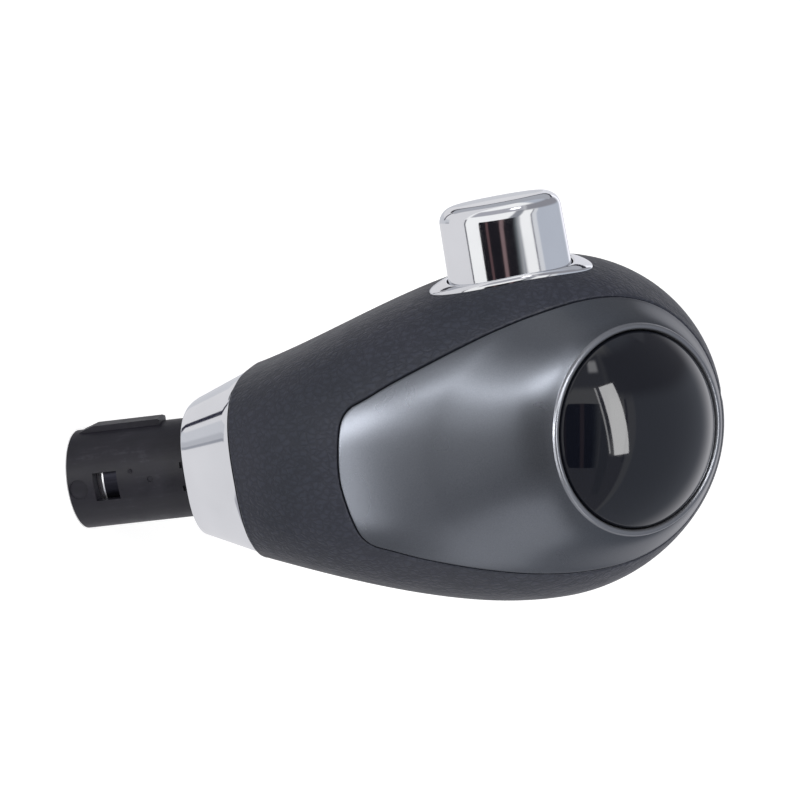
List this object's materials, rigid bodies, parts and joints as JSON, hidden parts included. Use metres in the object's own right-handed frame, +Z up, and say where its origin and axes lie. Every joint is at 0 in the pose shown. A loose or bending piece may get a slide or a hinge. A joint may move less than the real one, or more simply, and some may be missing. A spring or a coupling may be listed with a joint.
{
  "type": "gear shift knob",
  "caption": "Leather-covered shift knob with a side release button, satin front panel, gloss dome, bright collar and a plastic stem that takes the lever.",
  "frame": {"origin": "centre of the lever socket's mouth, at the stem's lower end", "axes": "+Z up along the lever, -Y out of the front panel's side, +X the way the button is pushed in"},
  "size_m": [0.0689, 0.0529, 0.1128],
  "materials": {
    "stem_plastic": "matte moulded",
    "core_plastic": "matte moulded",
    "guide_plastic": "matte moulded",
    "leather": "fine grain",
    "panel_paint": "satin metallic paint",
    "dome_gloss": "high gloss",
    "chrome_trim": "bright",
    "slider_plastic": "satin moulded",
    "sleeve_steel": "machined",
    "spring_steel": "drawn wire",
    "screw_steel": "zinc plated",
    "bush_brass": "turned",
    "plunger_plastic": "natural acetal",
    "damper_rubber": "matte"
  },
  "bodies": {
    "knob": {"stem_housing": "stem_plastic", "lever_sleeve": "sleeve_steel", "neck_collar": "chrome_trim", "core_front": "core_plastic", "core_back": "core_plastic", "leather_cover": "leather", "front_panel": "panel_paint", "dome_cap": "dome_gloss", "dome_backing": "core_plastic", "button_bezel": "chrome_trim", "button_guide": "guide_plastic", "guide_screws": "screw_steel", "core_screws": "screw_steel", "button_damper": "damper_rubber", "rod_bush": "bush_brass", "button_spring": "spring_steel", "plunger_spring": "spring_steel"},
    "button": {"button_cap": "chrome_trim", "button_slider": "slider_plastic"},
    "plunger": {"plunger_head": "plunger_plastic", "plunger_rod": "sleeve_steel", "spring_washer": "screw_steel"}
  },
  "joints": [
    {"name": "button_press", "type": "slide", "parent": "knob", "child": "button", "axis": [1, 0, 0], "range_m": [0, 0.006], "stiffness_N_per_m": 400, "springref_m": -0.004, "deforming": ["button_spring"]},
    {"name": "plunger_slide", "type": "slide", "parent": "knob", "child": "plunger", "axis": [0, 0, -1], "range_m": [0, 0.006], "stiffness_N_per_m": 300, "springref_m": -0.003, "deforming": ["plunger_spring"]}
  ],
  "couplings": [
    {"joint": "plunger_slide", "follows": "button_press", "ratio": 1}
  ]
}
